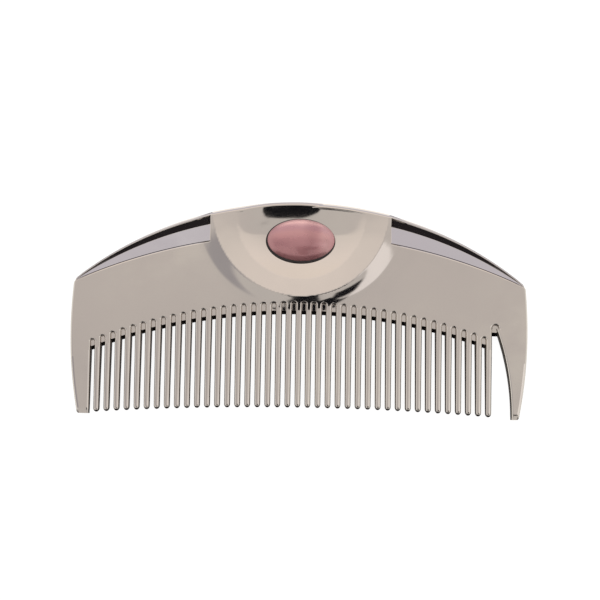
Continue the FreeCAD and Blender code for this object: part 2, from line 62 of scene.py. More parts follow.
# Sizes read from the frame, in mm
GUARD_LOW, GUARD_HIGH = (np.array(corner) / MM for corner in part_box("guard_left"))
TEETH = sorted(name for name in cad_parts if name.startswith("tooth_"))
TOOTH_BOXES = {name: [np.array(corner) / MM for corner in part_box(name)] for name in TEETH}
TOOTH_CENTRES = np.array([(low[0] + high[0]) / 2 for low, high in TOOTH_BOXES.values()])
THICKNESS = GUARD_HIGH[2]
MIDDLE = THICKNESS / 2
PITCH = (TOOTH_CENTRES[-1] - TOOTH_CENTRES[0]) / (len(TEETH) - 1)
APEX = CAD_BOX[1].y / MM
GUARD_TIP = GUARD_LOW[1]
HALF_WIDTH = CAD_BOX[1].x / MM

# Sizes of the casting that a box doesn't give, in mm
SPINE_RADIUS = 93.6
SIDE_RADIUS = 124.0
SIDE_DROP = 4.7
ROOT_RADIUS, ROOT_DROP = 150.0, 1.3
ARCH_RADIUS, ARCH_RISE = 144.0, 2.1
ROOT_HALF_WIDTH, TIP_HALF_WIDTH = 0.85, 0.75
TIP_HALF_THICKNESS = 1.1
SHOULDER_WIDTH, SHOULDER_DEPTH = 0.55, 0.95
WEB_HALF_THICKNESS, WEB_BEVEL, WEB_FOOT = 0.6, 0.92, 1.12
WALL_WIDTH = 0.06
BEAK_RADIUS, BEAK_LEFT, BEAK_DROP = 66.0, 10.25, 27.0
NOTCH_TOP, NOTCH_ARCH_TOP = -6.3, -3.0
BEAK_ROOT_REACH = 3.0  # the beak meets the root arc within this distance right of the wide gap
FLANK_CLEARANCE = 0.02  # the wide gap's roof begins this far right of the last tooth
EDGE_RADIUS = 0.45
BEVEL_FALL = 0.42  # depth of a soft bevel, as a share of its width
SIDE_BEVEL = 0.6
SPINE_BEVEL_MIDDLE, SPINE_BEVEL_END = 1.0, 0.45
SPINE_BEVEL_FROM, SPINE_BEVEL_TO = 10, 55  # distances from the middle over which the bevel narrows
CORNER_RADIUS = 1.0
FLARE_RADIUS, FLARE_RISE = 28.6, 26.0
BOSS_RADIUS, BOSS_RISE, BOSS_EDGE_HEIGHT = 23.5, 26.7, 1.0
BOWL_RADIUS, BOWL_RISE, BOWL_CREST_HEIGHT = 17.0, 24.9, 0.6
DISH_RADIUS, DISH_RISE, DISH_DEPTH = 0.01, 18.0, 0.95  # the dish's innermost circle is nearly a point
DISH_TURN, DISH_CURVATURE, DISH_CROSS_CURVATURE = 19.5, 0.034, 0.004
DISH_EDGE_LEFT, DISH_EDGE_RIGHT = 0.47, 0.6  # share of the bowl's width over which the dish turns up
DISH_TURN_BLEND = 4.0  # height over which the cross curvature sets in
DISH_FADE_FROM, DISH_FADE_TO, DISH_FADE = -1.0, 9.0, 0.5  # x over which the turn-up weakens, and by how much
SKIRT_FILLET = 0.95  # share of the skirt's width taken by the fillet at its foot
SPINE_RIM, SPINE_RIM_WALL = 1.15, 0.4
FLUTE_RADIUS, FLUTE_RISE, FLUTE_INNER_END = 140.4, 19.6, 23.8
FLUTE_DEPTH_SHARE, FLUTE_WALL_SHARE = 0.235, 0.28  # shares of a flute's height
FLUTE_WALL_CURVE = 1.1  # how much the wall along the spine bulges; 1 is straight
FLUTE_STEP_SHARE = 0.03  # depth of the small step along a flute's lower edge, as a share of its height
SEAM_WIDTH, SEAM_SHARE = 0.24, 0.28  # width of that step, and at most this share of the flute's height
FLUTE_END_WALL = 0.25
FLUTE_LEAST_HEIGHT = 0.01
WEB_SLOPE = 0.04
TOOTH_TIP_ROUND = 0.95
TOOTH_ROOT_BLEND = 1.2  # length over which a tooth's rings turn from the root arc to level ones
TOOTH_TIP_FLATNESS = 0.35  # share of its thickness that a tooth keeps at the very tip
FULL_SHOULDER = 1.4  # half thickness from which a tooth's shoulders have their full depth
GUARD_TIP_BEVEL, GUARD_TIP_FALL, GUARD_TIP_CORNER = 1.0, 0.38, 0.45
GUARD_THINNEST = 0.15  # half thickness left at the guards' edges

# Sizes of the cabochon and its bond line, in mm
DOME_INSET = (0.16, 0.36)  # how much smaller the dome is than its seat along x and y, on each side
# The shift bares more of the near-black bead at the dome's lower edge, where it stands in for the shade under
# the dome
DOME_SHIFT = (0.12, 0.28)
DOME_PLAN_CURVE, DOME_RISE_CURVE = 0.9, 1.05  # 1 and 1 would make an ellipsoid
BEAD_FOOT, BEAD_INSIDE = -0.2, 1.2  # its lowest height over the blade, and its width
BEAD_CROWN = [(0.0, 0.02), (0.12, 0.12), (0.3, 0.17)]  # distance inside the outline and height, going inwards

# How finely the meshes are divided
FINE_ROWS, BLADE_ROWS, FLUTE_ROWS, FLUTE_WALL_ROWS = 60, 50, 14, 10
FINE_MARGIN = 0.6  # how far the fine rows run above the arches, in mm
NOTCH_FINE_MARGIN, NOTCH_FINE_REACH = 4.7, 5.5  # how much further over the wide gap, and to its sides
FLUTE_ROWS_HEIGHT = 0.05  # least height that the flutes' rows take, in mm
EDGE_GAP = 0.03  # how far apart two rows stand at a sharp edge, in mm
MARGIN_COLUMNS, WEB_COLUMNS, NOTCH_COLUMNS, BEAK_COLUMNS = 5, 5, 12, 14
WARP_LOW, WARP_HIGH = 3.0, 15.0  # between these heights the columns move over to the flutes' ends
BACK_FINE_STEP, BACK_STEP = 3, 8  # the back has one row where the front has so many
EDGE_STEPS = 1 - np.cos(np.linspace(0, math.pi / 2, 7))  # 0 to 1, closest together at the outline
SHOULDER_STEPS = np.sin(np.linspace(0, math.pi / 2, 5))  # 0 to 1, closest together at the flank
TOOTH_RINGS, TIP_RINGS = 8, 8
GUARD_ROWS, GUARD_TIP_ROWS, GUARD_COLUMNS = 25, 6, 10
OVAL_SEGMENTS, DOME_RINGS = 160, 30
PROFILE_SAMPLES = 1201
EDGE_BLUR = 14  # samples of the boss's profile over which its edges are rounded
LEVEL_SAMPLES = 9  # places at which a slanting column reads the rows' heights
HALVINGS = 40  # of the interval in which the beak's root is looked for
NORMAL_REACH = 0.02  # how far to each side a slope is measured, in mm
PLATE_SETTLING_ROUNDS, GUARD_SETTLING_ROUNDS = 6, 8  # rounds after which a column's x and y agree
THIN = 1e-6  # width of a wall that leaves no slope behind
TINY = 1e-9
SHARP_ANGLE = math.radians(55)


def arc_y(x, radius, apex):
    """Height at x of an arc that bulges towards the spine, about the comb's centre line."""
    return apex - radius + np.sqrt(np.maximum(radius**2 - x**2, 0.0))


def root_y(x):
    return arc_y(x, ROOT_RADIUS, -ROOT_DROP)


def spine_y(x):
    return arc_y(x, SPINE_RADIUS, APEX)


def side_x(y):
    """Half width of the comb at height y."""
    return HALF_WIDTH - SIDE_RADIUS + np.sqrt(SIDE_RADIUS**2 - (y + SIDE_DROP) ** 2)


def beak_x(y):
    """Inner wall of the right guard and of the wide gap above it."""
    return np.sqrt(BEAK_RADIUS**2 - (y + BEAK_DROP) ** 2) - BEAK_LEFT


def smooth(low, high, value):
    """0 below low, 1 above high, with a smooth rise between."""
    t = np.clip((value - low) / (high - low), 0.0, 1.0)
    return t * t * (3 - 2 * t)


LAST_FLANK = TOOTH_CENTRES[-1] + ROOT_HALF_WIDTH
FIRST_GAP = TOOTH_CENTRES[0] - PITCH / 2
GAP_HALF = PITCH / 2 - ROOT_HALF_WIDTH
ARCH_HALF = GAP_HALF + SHOULDER_WIDTH
NOTCH_RIGHT = beak_x(NOTCH_TOP)
NOTCH_MIDDLE = (LAST_FLANK + NOTCH_RIGHT) / 2
NOTCH_ARCH_HALF = (NOTCH_RIGHT - LAST_FLANK) / 2 + SHOULDER_WIDTH


def beak_root():
    """Where the beak's curve meets the root arc."""
    low, high = NOTCH_RIGHT, NOTCH_RIGHT + BEAK_ROOT_REACH
    for _ in range(HALVINGS):
        x = (low + high) / 2
        if beak_x(root_y(x)) > x:
            low = x
        else:
            high = x
    return x


BEAK_ROOT = beak_root()


def bottom_y(x):
    """Lower edge of the plate: the root arc, or the roof of the wide gap where that is higher."""
    in_beak = np.clip((x - NOTCH_RIGHT) / (BEAK_ROOT - NOTCH_RIGHT), 0, 1)
    beak_y = NOTCH_TOP + (root_y(BEAK_ROOT) - NOTCH_TOP) * in_beak
    inside = (x > LAST_FLANK + FLANK_CLEARANCE) & (x < BEAK_ROOT)
    return np.where(inside, beak_y, root_y(x))


# --- heights of the front, above the back face ---------------------------------------------------


def shoulder_drop(inward):
    """How far a rounded shoulder has fallen at a distance inside the crest's edge."""
    t = np.clip(inward / SHOULDER_WIDTH, 0.0, 1.0)
    return SHOULDER_DEPTH * (1 - np.sqrt(1 - t * t))


def gap_inset(x, y):
    """Distance inside the nearest arched recess's outline; negative on the plate."""
    number = np.clip(np.round((x - FIRST_GAP) / PITCH), 0, len(TEETH) - 1)
    centre = FIRST_GAP + number * PITCH
    spring = arc_y(centre, ARCH_RADIUS, ARCH_RISE) - ARCH_HALF
    reach = np.where(y > spring, np.hypot(x - centre, y - spring), np.abs(x - centre))
    ordinary = ARCH_HALF - reach
    notch_spring = NOTCH_ARCH_TOP - NOTCH_ARCH_HALF
    right = BEAK_RADIUS + SHOULDER_WIDTH - np.hypot(x + BEAK_LEFT, y + BEAK_DROP)
    straight = np.minimum(x - LAST_FLANK + SHOULDER_WIDTH, right)
    arched = NOTCH_ARCH_HALF - np.hypot(x - NOTCH_MIDDLE, y - notch_spring)
    wide = np.where(y > notch_spring, arched, straight)
    return np.maximum(ordinary, wide)


def web_drop(x, y):
    """Depth of the web between two teeth: nearly flat, with a steep bevel at its foot."""
    above = y - bottom_y(x)
    foot = WEB_FOOT * np.clip(1 - above / WEB_BEVEL, 0, 1)
    return MIDDLE - WEB_HALF_THICKNESS - WEB_SLOPE * np.maximum(above - WEB_BEVEL, 0) + foot


def front_arch_drop(x, y, wall=WALL_WIDTH):
    """Depth of the arched recesses from the front: rounded shoulder, steep wall and web."""
    inset = gap_inset(x, y)
    share = np.clip((inset - SHOULDER_WIDTH) / wall, 0, 1)
    drop = shoulder_drop(inset)
    return drop + (web_drop(x, y) - drop) * share


def back_arch_drop(x, y):
    """Depth of the arched recesses from the back, where the web is flat."""
    inset = gap_inset(x, y)
    share = np.clip((inset - SHOULDER_WIDTH) / WALL_WIDTH, 0, 1)
    drop = shoulder_drop(inset)
    return drop + (MIDDLE - WEB_HALF_THICKNESS - drop) * share


def between_circles(x, y, outer, inner):
    """0 on the outer circle and 1 on the inner one, on the nested circles between them."""
    outer_radius, outer_rise = outer
    inner_radius, inner_rise = inner
    shrink, shift = outer_radius - inner_radius, outer_rise - inner_rise
    a = shift**2 - shrink**2
    b = 2 * ((y - outer_rise) * shift + outer_radius * shrink)
    c = x**2 + (y - outer_rise) ** 2 - outer_radius**2
    root = np.sqrt(np.maximum(b * b - 4 * a * c, 0.0))
    return np.where(c > 0, 0.0, (-b + root) / (2 * a))


def boss_profile():
    """Height of the boss along its nested circles: skirt 0 to 1, ring 1 to 2 and dish 2 to 3."""
    at = np.linspace(0, 3, PROFILE_SAMPLES)
    curved = at**2 / (2 * SKIRT_FILLET)
    rise = np.where(at < SKIRT_FILLET, curved, at - SKIRT_FILLET / 2) / (1 - SKIRT_FILLET / 2)
    skirt = BOSS_EDGE_HEIGHT * np.minimum(rise, 1)
    ring = (BOWL_CREST_HEIGHT - BOSS_EDGE_HEIGHT) * np.clip(at - 1, 0, 1)
    dish = DISH_DEPTH * (1 - (1 - np.clip(at - 2, 0, 1)) ** 2)
    sharp = skirt + ring - dish
    kernel = np.hanning(2 * EDGE_BLUR + 1)
    padded = np.pad(sharp, EDGE_BLUR, mode="edge")
    return at, np.convolve(padded, kernel / kernel.sum(), mode="valid")


PROFILE_AT, PROFILE_HEIGHT = boss_profile()


def boss_height(x, y):
    """The boss above the blade: skirt, ring that falls gently inwards, and dish that rises to the spine."""
    flare, rim = (FLARE_RADIUS, FLARE_RISE), (BOSS_RADIUS, BOSS_RISE)
    crest, dish = (BOWL_RADIUS, BOWL_RISE), (DISH_RADIUS, DISH_RISE)
    skirt = np.clip(between_circles(x, y, flare, rim), 0, 1)
    ring = np.clip(between_circles(x, y, rim, crest), 0, 1)
    bowl = np.clip(between_circles(x, y, crest, dish), 0, 1)
    height = np.interp(skirt + ring + bowl, PROFILE_AT, PROFILE_HEIGHT)
    upper = np.maximum(y - DISH_TURN, 0)
    turn = DISH_CURVATURE * upper**2 + DISH_CROSS_CURVATURE * x**2 * smooth(0.0, DISH_TURN_BLEND, upper)
    edge = np.where(x < 0, DISH_EDGE_LEFT, DISH_EDGE_RIGHT)
    strength = smooth(0.0, edge, bowl) * (1 - DISH_FADE * smooth(DISH_FADE_FROM, DISH_FADE_TO, x))
    height = height + 0.5 * turn * strength
    level = np.interp(skirt + ring, PROFILE_AT, PROFILE_HEIGHT)
    rim_share = 1 - smooth(SPINE_RIM, SPINE_RIM + SPINE_RIM_WALL, spine_y(x) - y)
    return height + (np.maximum(level, height) - height) * rim_share


def seam_width(height):
    """Width of the step along the lower edge of a flute, from the flute's height there."""
    return np.minimum(SEAM_WIDTH, SEAM_SHARE * height)


def flute_drop(x, y, surface, end, end_wall):
    """Depth of the crescent flutes, which begin at |x| = end, under the surface round them."""
    low = arc_y(x, FLUTE_RADIUS, FLUTE_RISE)
    high = spine_y(x) - spine_bevel(x)
    height = np.maximum(high - low, FLUTE_LEAST_HEIGHT)
    across = np.clip((y - low) / height, 0, 1)
    deepest = FLUTE_DEPTH_SHARE * height
    step = FLUTE_STEP_SHARE * height
    floor = step + (deepest - step) * across / (1 - FLUTE_WALL_SHARE)
    rise = np.clip((across - 1 + FLUTE_WALL_SHARE) / FLUTE_WALL_SHARE, 0, 1)
    depth = np.where(rise > 0, deepest * (1 - rise**FLUTE_WALL_CURVE), floor)
    depth = depth * np.clip((y - low) / seam_width(height), 0, 1)
    inside = np.clip((np.abs(x) - end) / end_wall, 0, 1) * (y > low) * (y < high)
    return np.maximum(surface - THICKNESS + depth, 0.0) * inside


def spine_bevel(x):
    """Width of the rounded bevel along the spine, wider in the middle."""
    outward = smooth(SPINE_BEVEL_FROM, SPINE_BEVEL_TO, np.abs(x))
    return SPINE_BEVEL_MIDDLE + (SPINE_BEVEL_END - SPINE_BEVEL_MIDDLE) * outward


def bevel_over(distance, width, depth):
    """How far a soft bevel has fallen at a distance inside the outline."""
    return depth * np.clip(1 - distance / width, 0.0, 1.0) ** 2


def round_over(distance, width, depth):
    """How far a rounded edge has fallen at a distance inside the outline."""
    t = np.clip(1 - distance / width, 0.0, 1.0)
    return depth * (1 - np.sqrt(1 - t * t))


def edge_drop(x, y):
    """The rounded edges along the spine and the ends."""
    spine = bevel_over(spine_y(x) - y, spine_bevel(x), spine_bevel(x) * BEVEL_FALL)
    side = bevel_over(side_x(y) - np.abs(x), SIDE_BEVEL, SIDE_BEVEL * BEVEL_FALL)
    return np.maximum(spine, side)


def front_z(x, y, wall=WALL_WIDTH, end=FLUTE_INNER_END, end_wall=FLUTE_END_WALL):
    surface = THICKNESS + boss_height(x, y)
    surface = surface - flute_drop(x, y, surface, end, end_wall)
    return surface - np.maximum(front_arch_drop(x, y, wall), edge_drop(x, y))


def front_shading(x, y):
    """The front without the walls of the recesses, which are too steep to shade smoothly."""
    return front_z(x, y, THIN, FLUTE_INNER_END + FLUTE_END_WALL / 2, THIN)


def back_z(x, y):
    spine = round_over(spine_y(x) - y, SPINE_BEVEL_END, SPINE_BEVEL_END)
    side = round_over(side_x(y) - np.abs(x), EDGE_RADIUS, EDGE_RADIUS)
    return np.maximum(back_arch_drop(x, y), np.maximum(spine, side))


# --- meshes --------------------------------------------------------------------------------------


def slope_normals(height, points):
    """Unit normals, pointing up, of a height function at plan positions."""
    x, y = points[..., 0], points[..., 1]
    p = (height(x + NORMAL_REACH, y) - height(x - NORMAL_REACH, y)) / (2 * NORMAL_REACH)
    q = (height(x, y + NORMAL_REACH) - height(x, y - NORMAL_REACH)) / (2 * NORMAL_REACH)
    normals = np.stack([-p, -q, np.ones_like(p)], axis=-1)
    return normals / np.linalg.norm(normals, axis=-1, keepdims=True)


def set_normals(mesh, up, down, front_count, back_count):
    """Exact normals on the first faces, the front, and on the next ones, the back; flat ones elsewhere."""
    starts = np.zeros(len(mesh.polygons), int)
    totals = np.zeros(len(mesh.polygons), int)
    corners = np.zeros(len(mesh.loops), int)
    mesh.polygons.foreach_get("loop_start", starts)
    mesh.polygons.foreach_get("loop_total", totals)
    mesh.loops.foreach_get("vertex_index", corners)
    flat = np.zeros(len(mesh.polygons) * 3)
    mesh.polygons.foreach_get("normal", flat)
    normals = np.repeat(flat.reshape(-1, 3), totals, axis=0)
    face = np.repeat(np.arange(len(totals)), totals)
    front = face < front_count
    back = ~front & (face < front_count + back_count)
    normals[front] = up[corners[front]]
    normals[back] = down[corners[back]]
    mesh.normals_split_custom_set(normals.tolist())


def new_object(name, vertices, faces, material):
    """A mesh object from metres, linked to the scene."""
    mesh = bpy.data.meshes.new(name)
    mesh.from_pydata(vertices, [], faces)
    mesh.materials.append(material)
    made = bpy.data.objects.new(name, mesh)
    bpy.context.scene.collection.objects.link(made)
    return made


def make_piece(name, vertices, faces, material, slot, *nodes):
    """A mesh object from millimetres, riding on the comb and standing for CAD nodes."""
    piece = new_object(name, (np.asarray(vertices) * MM).tolist(), faces, material)
    piece.data.validate()
    piece.data.shade_smooth()
    piece.data.set_sharp_from_angle(angle=SHARP_ANGLE)
    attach(piece, "root")
    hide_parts(*nodes)
    return piece


def plate_columns():
    """x at the root arc of every column between the two guards' inner edges and their shoulders."""
    crest_half = ROOT_HALF_WIDTH - SHOULDER_WIDTH
    right_half = np.concatenate([[crest_half / 3], crest_half + SHOULDER_STEPS * SHOULDER_WIDTH])
    tooth = np.concatenate([-right_half[::-1], right_half])
    web = np.linspace(-GAP_HALF + WALL_WIDTH, GAP_HALF - WALL_WIDTH, WEB_COLUMNS)
    left_shoulder = FIRST_GAP - GAP_HALF - SHOULDER_WIDTH * (1 - SHOULDER_STEPS)
    columns = [left_shoulder, FIRST_GAP + web]
    for centre in TOOTH_CENTRES[:-1]:
        columns += [centre + tooth, centre + PITCH / 2 + web]
    notch = np.linspace(LAST_FLANK + WALL_WIDTH, NOTCH_RIGHT - WALL_WIDTH, NOTCH_COLUMNS)
    beak = np.linspace(NOTCH_RIGHT, BEAK_ROOT + SHOULDER_WIDTH, BEAK_COLUMNS)
    columns += [TOOTH_CENTRES[-1] + tooth, notch, beak]
    return np.concatenate(columns)


def build_plate_grid():
    """Every column of the plate: bevelled side, margin, core and the same again on the right."""
    core = plate_columns()
    margin = np.linspace(0, 1, MARGIN_COLUMNS + 2)[1:-1]
    left = [("side", -1, step * SIDE_BEVEL) for step in EDGE_STEPS]
    left += [("margin", -1, share) for share in margin[::-1]]
    right = [("margin", 1, share) for share in margin]
    right += [("side", 1, step * SIDE_BEVEL) for step in EDGE_STEPS[::-1]]
    if (len(left) + len(core) + len(right)) % 2 == 0:
        left.insert(len(EDGE_STEPS), ("margin", -1, (margin[-1] + 1) / 2))
    upper = core.copy()
    kept = [place for place in range(len(core)) if (place + len(left)) % 2 == 0]
    for x in (FLUTE_INNER_END, -FLUTE_INNER_END):
        nearest = min(range(len(kept)), key=lambda place: abs(core[kept[place]] - x))
        outward = nearest + (1 if x > 0 else -1)
        upper[kept[nearest]] = x
        upper[kept[outward]] = x + math.copysign(FLUTE_END_WALL, x)
        between = (kept[nearest] + kept[outward]) // 2
        upper[between] = (upper[kept[nearest]] + upper[kept[outward]]) / 2
    columns = left + [("core", low, high) for low, high in zip(core, upper)] + right
    return columns, core[0], core[-1]


def column_x(column, y, core_left, core_right):
    """x of a column at height y."""
    kind, a, b = column
    if kind == "core":
        return a + (b - a) * smooth(WARP_LOW, WARP_HIGH, y)
    edge = side_x(y)
    if kind == "side":
        return a * (edge - b)
    inner = -core_left if a < 0 else core_right
    return a * (inner + (edge - SIDE_BEVEL - inner) * b)


def row_levels(x):
    """Heights at x of every row of the plate, from its lower edge to the spine."""
    bottom = bottom_y(x)
    near_notch = 1 - np.abs(x - NOTCH_MIDDLE) / NOTCH_FINE_REACH
    fine_margin = FINE_MARGIN + NOTCH_FINE_MARGIN * smooth(0, 1, near_notch)
    fine_top = arc_y(x, ARCH_RADIUS, ARCH_RISE) + fine_margin
    spine = spine_y(x)
    bevel = spine_bevel(x)
    under_bevel = spine - bevel
    flute = np.minimum(arc_y(x, FLUTE_RADIUS, FLUTE_RISE), under_bevel - FLUTE_ROWS_HEIGHT)
    fine = bottom + (fine_top - bottom) * np.linspace(0, 1, FINE_ROWS + 1)
    blade = fine_top + (flute - fine_top) * np.linspace(0, 1, BLADE_ROWS + 1)[1:]
    height = under_bevel - flute
    wall = flute + height * (1 - FLUTE_WALL_SHARE)
    wall_gap = min(EDGE_GAP, height * EDGE_GAP)
    seam = seam_width(height)
    step = flute + np.array([wall_gap, seam - wall_gap, seam + wall_gap])
    floor = step[-1] + (wall - wall_gap - step[-1]) * np.linspace(0, 1, FLUTE_ROWS + 1)[1:]
    upper = wall + wall_gap + (under_bevel - wall - wall_gap) * np.linspace(0, 1, FLUTE_WALL_ROWS + 1)
    edge = spine - bevel * EDGE_STEPS[::-1][1:]
    return np.concatenate([fine, blade, step, floor, upper, edge])


def plate_points():
    """Plan position (row, column) of every vertex of the plate's front."""
    columns, core_left, core_right = build_plate_grid()
    grid = []
    for column in columns:
        y = np.zeros(len(row_levels(0.0)))
        x = column_x(column, y, core_left, core_right)
        for _ in range(PLATE_SETTLING_ROUNDS):
            y = levels_along(x)
            x = column_x(column, y, core_left, core_right)
        grid.append(np.stack([x, y], axis=1))
    return np.stack(grid, axis=1)


def levels_along(x):
    """Row heights where each row is read at its own x."""
    if np.ptp(x) < TINY:
        return row_levels(x[0])
    distinct = np.linspace(x.min(), x.max(), LEVEL_SAMPLES)
    table = np.stack([row_levels(one) for one in distinct])
    rows = np.arange(table.shape[1])
    where = (x - distinct[0]) / (distinct[-1] - distinct[0]) * (len(distinct) - 1)
    low = np.clip(where.astype(int), 0, len(distinct) - 2)
    share = where - low
    return table[low, rows] * (1 - share) + table[low + 1, rows] * share


def corner_pull(u, v):
    """Share of its way into a square corner that a point keeps, so that the corner comes out round."""
    return np.where((u > 0) & (v > 0), np.maximum(u, v) / np.maximum(np.hypot(u, v), TINY), 1.0)


def round_corners(points):
    """Rounds the plate's corners where the spine meets the ends."""
    x, y = points[..., 0], points[..., 1]
    from_side = side_x(y) - np.abs(x)
    from_spine = spine_y(x) - y
    u = np.clip(CORNER_RADIUS - from_side, 0, None)
    v = np.clip(CORNER_RADIUS - from_spine, 0, None)
    pull = corner_pull(u, v)
    x = x - np.sign(x) * u * (1 - pull)
    y = y - v * (1 - pull)
    return np.stack([x, y], axis=-1)


def build_plate(material):
    """The plate as a closed pillow: front grid, sparser back grid and a wall round the outline."""
    points = plate_points()
    rows, columns = points.shape[:2]
    x, y = points[..., 0], points[..., 1]
    front = np.stack([x, y, front_z(x, y)], axis=-1)
    front[..., :2] = round_corners(points)
    back = front.copy()
    back[..., 2] = back_z(x, y)

    kept_columns = list(range(0, columns, 2))
    top_rows = len(EDGE_STEPS) - 1
    back_rows = list(range(FINE_ROWS, rows - top_rows, BACK_STEP))
    back_rows += list(range(max(back_rows[-1] + 1, rows - top_rows - 1), rows))

    vertices = []
    front_index = -np.ones((rows, columns), int)
    back_index = -np.ones((rows, columns), int)

    def add(index, source, row, column):
        if index[row, column] < 0:
            index[row, column] = len(vertices)
            vertices.append(source[row, column])
        return int(index[row, column])

    def f(row, column):
        return add(front_index, front, row, column)

    def b(row, column):
        return add(back_index, back, row, column)

    faces = []

    def sheet(corner, fine_rows, row_list, turned):
        """Faces of one side: fine rows first, then a row of five-sided faces, then coarse rows."""
        made = []
        for low, high in zip(fine_rows, fine_rows[1:]):
            for column in range(columns - 1):
                made.append([corner(low, column), corner(low, column + 1),
                             corner(high, column + 1), corner(high, column)])
        above = row_list[1]
        for left, right in zip(kept_columns, kept_columns[1:]):
            made.append([corner(FINE_ROWS, left), corner(FINE_ROWS, left + 1), corner(FINE_ROWS, right),
                         corner(above, right), corner(above, left)])
        for low, high in zip(row_list[1:], row_list[2:]):
            for left, right in zip(kept_columns, kept_columns[1:]):
                made.append([corner(low, left), corner(low, right), corner(high, right), corner(high, left)])
        return [face[::-1] for face in made] if turned else made

    back_fine_rows = list(range(0, FINE_ROWS + 1, BACK_FINE_STEP))
    faces += sheet(f, list(range(FINE_ROWS + 1)), list(range(FINE_ROWS, rows)), False)
    front_count = len(faces)
    faces += sheet(b, back_fine_rows, back_rows, True)
    back_count = len(faces) - front_count
    for column in range(columns - 1):
        faces.append([b(0, column), b(0, column + 1), f(0, column + 1), f(0, column)])
    for left, right in zip(kept_columns, kept_columns[1:]):
        faces.append([f(rows - 1, left), f(rows - 1, right), b(rows - 1, right), b(rows - 1, left)])
    wall_rows = back_fine_rows[:-1] + back_rows
    for low, high in zip(wall_rows, wall_rows[1:]):
        left = [f(row, 0) for row in range(low, high + 1)]
        faces.append(left + [b(high, 0), b(low, 0)])
        right = [f(row, columns - 1) for row in range(high, low - 1, -1)]
        faces.append(right + [b(low, columns - 1), b(high, columns - 1)])
    piece = make_piece("comb_back_skin", vertices, faces, material, "polished_metal", "comb_back")
    up = np.zeros((len(vertices), 3))
    down = np.zeros((len(vertices), 3))
    used = front_index >= 0
    up[front_index[used]] = slope_normals(front_shading, points)[used]
    used = back_index >= 0
    down[back_index[used]] = -slope_normals(back_z, points)[used]
    set_normals(piece.data, up, down, front_count, back_count)
    # The step rows along each flute's lower edge get the seam mask, where the metal paints a nearly black
    # line of shade.
    seam = piece.data.attributes.new("seam", "FLOAT", "POINT")
    step_row = FINE_ROWS + BLADE_ROWS + 1
    for row in (step_row, step_row + 1):
        for column in range(columns):
            if front_index[row, column] >= 0 and abs(x[row, column]) > FLUTE_INNER_END:
                seam.data[int(front_index[row, column])].value = 1.0
    return piece


def tooth_half_profile(half_width, half_thickness):
    """(x, z) from the crest's middle out to the flank's lower end at the middle plane."""
    crest_half = half_width - SHOULDER_WIDTH
    x = np.concatenate([[crest_half / 3], crest_half + SHOULDER_STEPS * SHOULDER_WIDTH])
    inset = np.concatenate([[0], SHOULDER_STEPS * SHOULDER_WIDTH])
    z = half_thickness - shoulder_drop(inset) * min(1.0, half_thickness / FULL_SHOULDER)
    return x, z


def build_tooth(name, material):
    """One tooth: rings of the rounded section from the root arc to a rounded tip."""
    low, high = TOOTH_BOXES[name]
    centre = (low[0] + high[0]) / 2
    tip = low[1]
    root = root_y(centre)
    straight = np.linspace(0, 1, TOOTH_RINGS + 1)[:-1] * (root - tip - TOOTH_TIP_ROUND)
    bend = np.sin(np.linspace(0, math.pi / 2, TIP_RINGS + 1)[:-1])
    stations = [(root - step, 1.0) for step in straight]
    stations += [(tip + TOOTH_TIP_ROUND - step * TOOTH_TIP_ROUND, math.sqrt(1 - step**2)) for step in bend]
    vertices, faces = [], []
    for y, scale in stations:
        along = (root - y) / (root - tip)
        half_width = ROOT_HALF_WIDTH + (TIP_HALF_WIDTH - ROOT_HALF_WIDTH) * along
        half_thickness = MIDDLE + (TIP_HALF_THICKNESS - MIDDLE) * along
        px, pz = tooth_half_profile(half_width, half_thickness)
        px, pz = px * scale, pz * (TOOTH_TIP_FLATNESS + (1 - TOOTH_TIP_FLATNESS) * scale)
        x = np.concatenate([-px[::-1], px, px[::-1], -px])
        z = np.concatenate([pz[::-1], pz, -pz[::-1], -pz])
        ring_y = y + (root_y(centre + x) - root) * max(0, 1 - (root - y) / TOOTH_ROOT_BLEND)
        vertices.append(np.stack([centre + x, ring_y, MIDDLE + z], axis=1))
    ring_size = len(vertices[0])
    vertices = np.concatenate(vertices)
    for ring in range(len(stations) - 1):
        for k in range(ring_size):
            after = (k + 1) % ring_size
            a, b = ring * ring_size, (ring + 1) * ring_size
            faces.append([a + k, b + k, b + after, a + after])
    faces.append(list(range(ring_size)))
    last = (len(stations) - 1) * ring_size
    vertices = np.concatenate([vertices, [[centre, tip, MIDDLE]]])
    pole = len(vertices) - 1
    for k in range(ring_size):
        faces.append([last + k, pole, last + (k + 1) % ring_size])
    return make_piece(f"{name}_skin", vertices, faces, material, "polished_metal", name)


